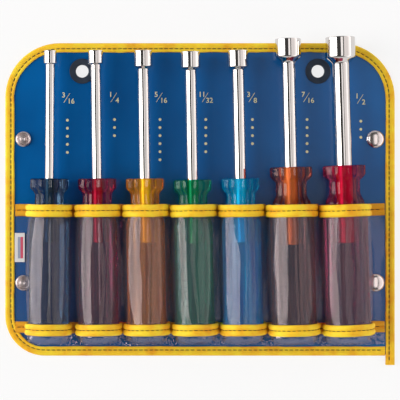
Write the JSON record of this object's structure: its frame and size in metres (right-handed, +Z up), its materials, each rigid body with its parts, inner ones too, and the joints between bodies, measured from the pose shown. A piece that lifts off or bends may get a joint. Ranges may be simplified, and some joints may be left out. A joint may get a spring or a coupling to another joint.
{
  "type": "nut driver set in a snap pouch",
  "caption": "Hollow-shaft nut drivers with fluted translucent handles, each in a clear pocket of a folding vinyl pouch with yellow binding, snaps and hanging eyelets.",
  "frame": {"origin": "under the middle of the whole set, on the surface that the open pouch lies on", "axes": "+X along the row from the smallest driver to the largest, +Y along the drivers towards their sockets, +Z up out of the pockets"},
  "size_m": [0.2348, 0.1962, 0.0317],
  "materials": {
    "blue_vinyl": "glossy blue sheet vinyl with a fine pebble grain",
    "yellow_tape": "ribbed yellow woven tape with a dark stitch line",
    "clear_vinyl": "clear glossy sheet vinyl",
    "chrome": "bright polished chrome",
    "nickel": "polished nickel",
    "dark_metal": "dark oxidised metal",
    "white_tag": "white woven tag",
    "smoke_acetate": "clear smoke acetate, polished",
    "red_acetate": "clear red acetate, polished",
    "amber_acetate": "clear amber acetate, polished",
    "green_acetate": "clear green acetate, polished",
    "blue_acetate": "clear blue acetate, polished",
    "brown_acetate": "clear orange-brown acetate, polished"
  },
  "bodies": {
    "middle_panel": {"sheet_middle": "blue_vinyl", "binding_top_middle": "yellow_tape", "binding_bottom_middle": "yellow_tape", "pocket_5_16": "clear_vinyl", "top_tape_5_16": "yellow_tape", "bottom_tape_5_16": "yellow_tape", "pocket_11_32": "clear_vinyl", "top_tape_11_32": "yellow_tape", "bottom_tape_11_32": "yellow_tape", "pocket_3_8": "clear_vinyl", "top_tape_3_8": "yellow_tape", "bottom_tape_3_8": "yellow_tape"},
    "left_wing": {"sheet_left": "blue_vinyl", "binding_left": "yellow_tape", "eyelet_left": "dark_metal", "eyelet_washer_left": "dark_metal", "snap_stud_upper": "nickel", "snap_stud_lower": "nickel", "snap_post_upper": "nickel", "snap_post_lower": "nickel", "tag": "white_tag", "pocket_3_16": "clear_vinyl", "top_tape_3_16": "yellow_tape", "bottom_tape_3_16": "yellow_tape", "pocket_1_4": "clear_vinyl", "top_tape_1_4": "yellow_tape", "bottom_tape_1_4": "yellow_tape"},
    "right_wing": {"sheet_right": "blue_vinyl", "binding_right": "yellow_tape", "binding_bottom_right": "yellow_tape", "eyelet_right": "dark_metal", "eyelet_washer_right": "dark_metal", "snap_cap_upper": "nickel", "snap_cap_lower": "nickel", "snap_socket_upper": "nickel", "snap_socket_lower": "nickel", "pocket_7_16": "clear_vinyl", "top_tape_7_16": "yellow_tape", "bottom_tape_7_16": "yellow_tape", "pocket_1_2": "clear_vinyl", "top_tape_1_2": "yellow_tape", "bottom_tape_1_2": "yellow_tape"},
    "driver_3_16": {"handle_3_16": "smoke_acetate", "shaft_3_16": "chrome"},
    "driver_1_4": {"handle_1_4": "red_acetate", "shaft_1_4": "chrome"},
    "driver_5_16": {"handle_5_16": "amber_acetate", "shaft_5_16": "chrome"},
    "driver_11_32": {"handle_11_32": "green_acetate", "shaft_11_32": "chrome"},
    "driver_3_8": {"handle_3_8": "blue_acetate", "shaft_3_8": "chrome"},
    "driver_7_16": {"handle_7_16": "brown_acetate", "shaft_7_16": "chrome"},
    "driver_1_2": {"handle_1_2": "red_acetate", "shaft_1_2": "chrome"}
  },
  "joints": [
    {"name": "left_fold", "type": "hinge", "parent": "middle_panel", "child": "left_wing", "pos_m": [-0.04633, 0, 0], "axis": [0, -1, 0], "range_deg": [0, 118]},
    {"name": "right_fold", "type": "hinge", "parent": "middle_panel", "child": "right_wing", "pos_m": [0.03941, 0, 0], "axis": [0, 1, 0], "range_deg": [0, 125]},
    {"name": "pull_3_16", "type": "slide", "parent": "left_wing", "child": "driver_3_16", "axis": [0.007, 1, 0], "range_m": [0, 0.08]},
    {"name": "pull_1_4", "type": "slide", "parent": "left_wing", "child": "driver_1_4", "axis": [-0.0122, 0.9999, 0], "range_m": [0, 0.08]},
    {"name": "pull_5_16", "type": "slide", "parent": "middle_panel", "child": "driver_5_16", "axis": [-0.014, 0.9999, 0], "range_m": [0, 0.08]},
    {"name": "pull_11_32", "type": "slide", "parent": "middle_panel", "child": "driver_11_32", "axis": [-0.0175, 0.9998, 0], "range_m": [0, 0.08]},
    {"name": "pull_3_8", "type": "slide", "parent": "middle_panel", "child": "driver_3_8", "axis": [-0.0209, 0.9998, 0], "range_m": [0, 0.08]},
    {"name": "pull_7_16", "type": "slide", "parent": "right_wing", "child": "driver_7_16", "axis": [-0.0227, 0.9997, 0], "range_m": [0, 0.08]},
    {"name": "pull_1_2", "type": "slide", "parent": "right_wing", "child": "driver_1_2", "axis": [-0.0297, 0.9996, 0], "range_m": [0, 0.08]}
  ]
}
